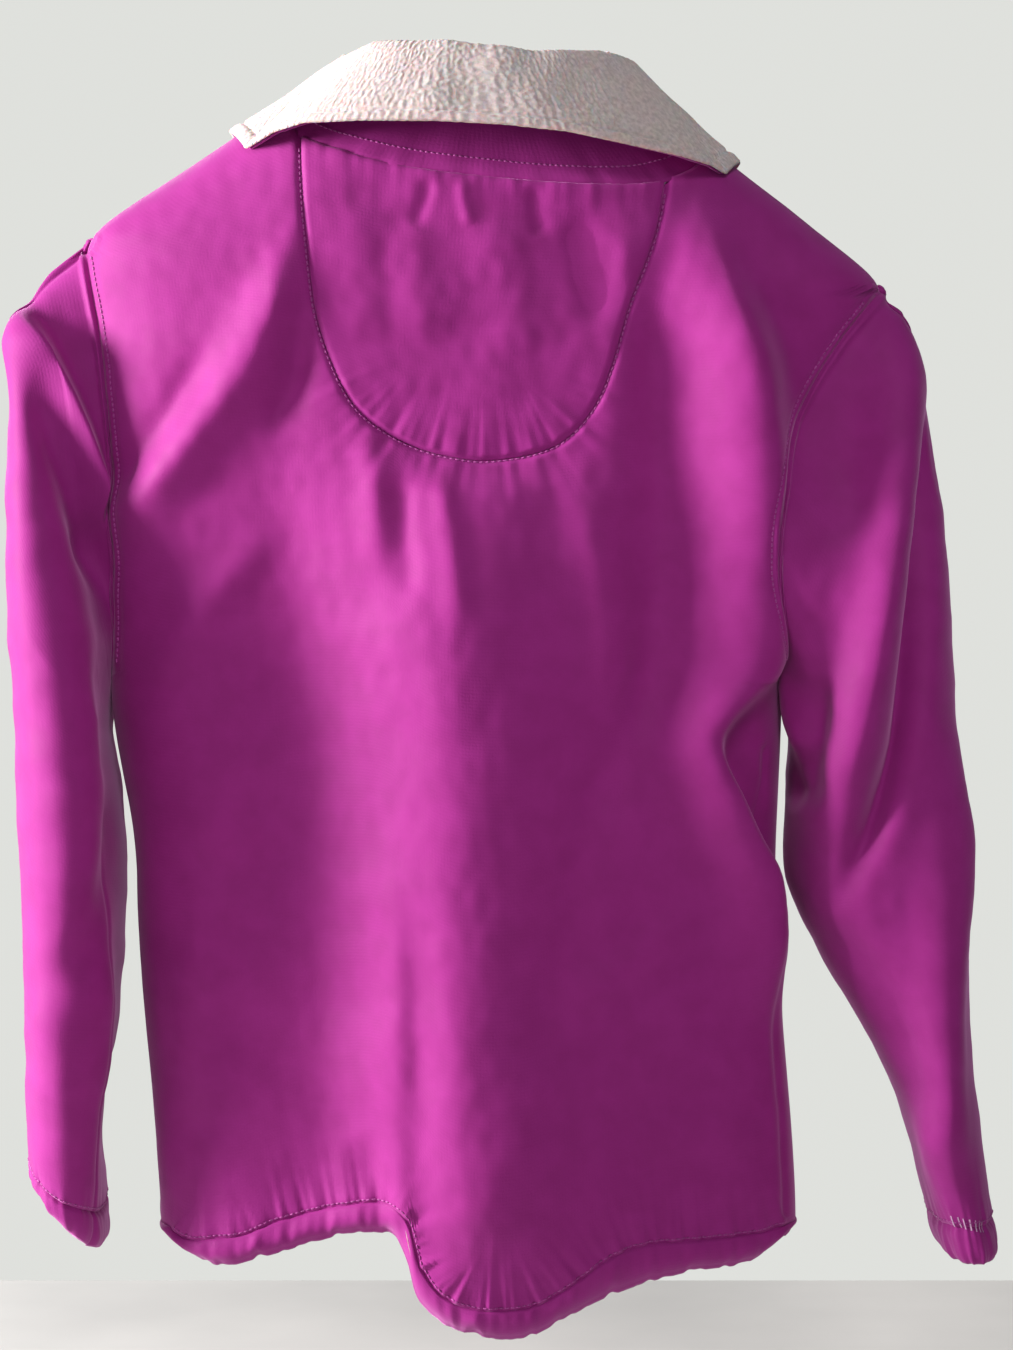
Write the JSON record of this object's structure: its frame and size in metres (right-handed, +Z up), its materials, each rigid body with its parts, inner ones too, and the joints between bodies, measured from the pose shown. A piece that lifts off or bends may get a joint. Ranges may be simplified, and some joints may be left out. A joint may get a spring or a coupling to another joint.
{
  "type": "softshell jacket",
  "caption": "Women's softshell jacket hung up empty: yoked back, set-in sleeves, turned-down fleece collar, front zip and two zipped hand pockets.",
  "frame": {"origin": "middle of the neck, at the height where a clothes hanger's shoulders carry the jacket", "axes": "+Z up the jacket towards the collar, front of the jacket towards -Y, back towards +Y, wearer's left towards +X"},
  "size_m": [0.5472, 0.167, 0.7175],
  "materials": {
    "shell_fabric": "fine matt weave, stretch softshell face",
    "fleece": "short pilled fleece",
    "zip_tape": "woven tape",
    "zip_plastic": "moulded, satin",
    "zip_metal": "dark plated die casting",
    "pocket_mesh": "knitted mesh",
    "label": "woven satin, blank"
  },
  "bodies": {
    "jacket": {"back_panel": "shell_fabric", "back_yoke": "shell_fabric", "left_front_panel": "shell_fabric", "right_front_panel": "shell_fabric", "back_hem": "shell_fabric", "left_front_hem": "shell_fabric", "right_front_hem": "shell_fabric", "collar_shell": "shell_fabric", "collar_lining": "fleece", "left_collar_zip": "zip_tape", "right_collar_zip": "zip_tape", "left_top_stop": "zip_metal", "right_top_stop": "zip_metal", "left_sleeve_head": "shell_fabric", "right_sleeve_head": "shell_fabric", "left_zip_tape": "zip_tape", "right_zip_tape": "zip_tape", "left_zip_chain": "zip_plastic", "right_zip_chain": "zip_plastic", "zip_box": "zip_metal", "zip_pin": "zip_metal", "storm_flap": "shell_fabric", "left_pocket_tape": "zip_tape", "right_pocket_tape": "zip_tape", "left_pocket_chain": "zip_plastic", "right_pocket_chain": "zip_plastic", "left_pocket_bag": "pocket_mesh", "right_pocket_bag": "pocket_mesh", "hang_loop": "zip_tape", "neck_label": "label"},
    "left_lower_sleeve": {"left_sleeve": "shell_fabric", "left_cuff_hem": "shell_fabric"},
    "right_lower_sleeve": {"right_sleeve": "shell_fabric", "right_cuff_hem": "shell_fabric"},
    "front_slider": {"zip_slider": "zip_metal"},
    "front_pull": {"zip_pull": "zip_plastic"},
    "left_slider": {"left_pocket_slider": "zip_metal"},
    "left_pull": {"left_pocket_pull": "zip_plastic"},
    "right_slider": {"right_pocket_slider": "zip_metal"},
    "right_pull": {"right_pocket_pull": "zip_plastic"}
  },
  "joints": [
    {"name": "left_sleeve_swing", "type": "hinge", "parent": "jacket", "child": "left_lower_sleeve", "pos_m": [0.258, 0, -0.3097], "axis": [0, -1, 0], "range_deg": [0, 50]},
    {"name": "right_sleeve_swing", "type": "hinge", "parent": "jacket", "child": "right_lower_sleeve", "pos_m": [-0.258, 0, -0.3006], "axis": [0, 1, 0], "range_deg": [0, 50]},
    {"name": "front_zip_slide", "type": "slide", "parent": "jacket", "child": "front_slider", "axis": [0, 0, 1], "range_m": [-0.52, 0]},
    {"name": "front_pull_swing", "type": "hinge", "parent": "front_slider", "child": "front_pull", "pos_m": [0, -0.0663, -0.0495], "axis": [-1, 0, 0], "range_deg": [0, 170]},
    {"name": "left_pocket_slide", "type": "slide", "parent": "jacket", "child": "left_slider", "axis": [-0.2054, -0.0325, 0.9781], "range_m": [-0.116, 0]},
    {"name": "left_pull_swing", "type": "hinge", "parent": "left_slider", "child": "left_pull", "pos_m": [0.09192, -0.06472, -0.3874], "axis": [-0.9661, -0.1529, -0.2079], "range_deg": [0, 170]},
    {"name": "right_pocket_slide", "type": "slide", "parent": "jacket", "child": "right_slider", "axis": [0.2011, -0.0526, 0.9781], "range_m": [-0.116, 0]},
    {"name": "right_pull_swing", "type": "hinge", "parent": "right_slider", "child": "right_pull", "pos_m": [-0.09285, -0.06241, -0.3874], "axis": [-0.9463, 0.2477, 0.2079], "range_deg": [0, 170]}
  ]
}
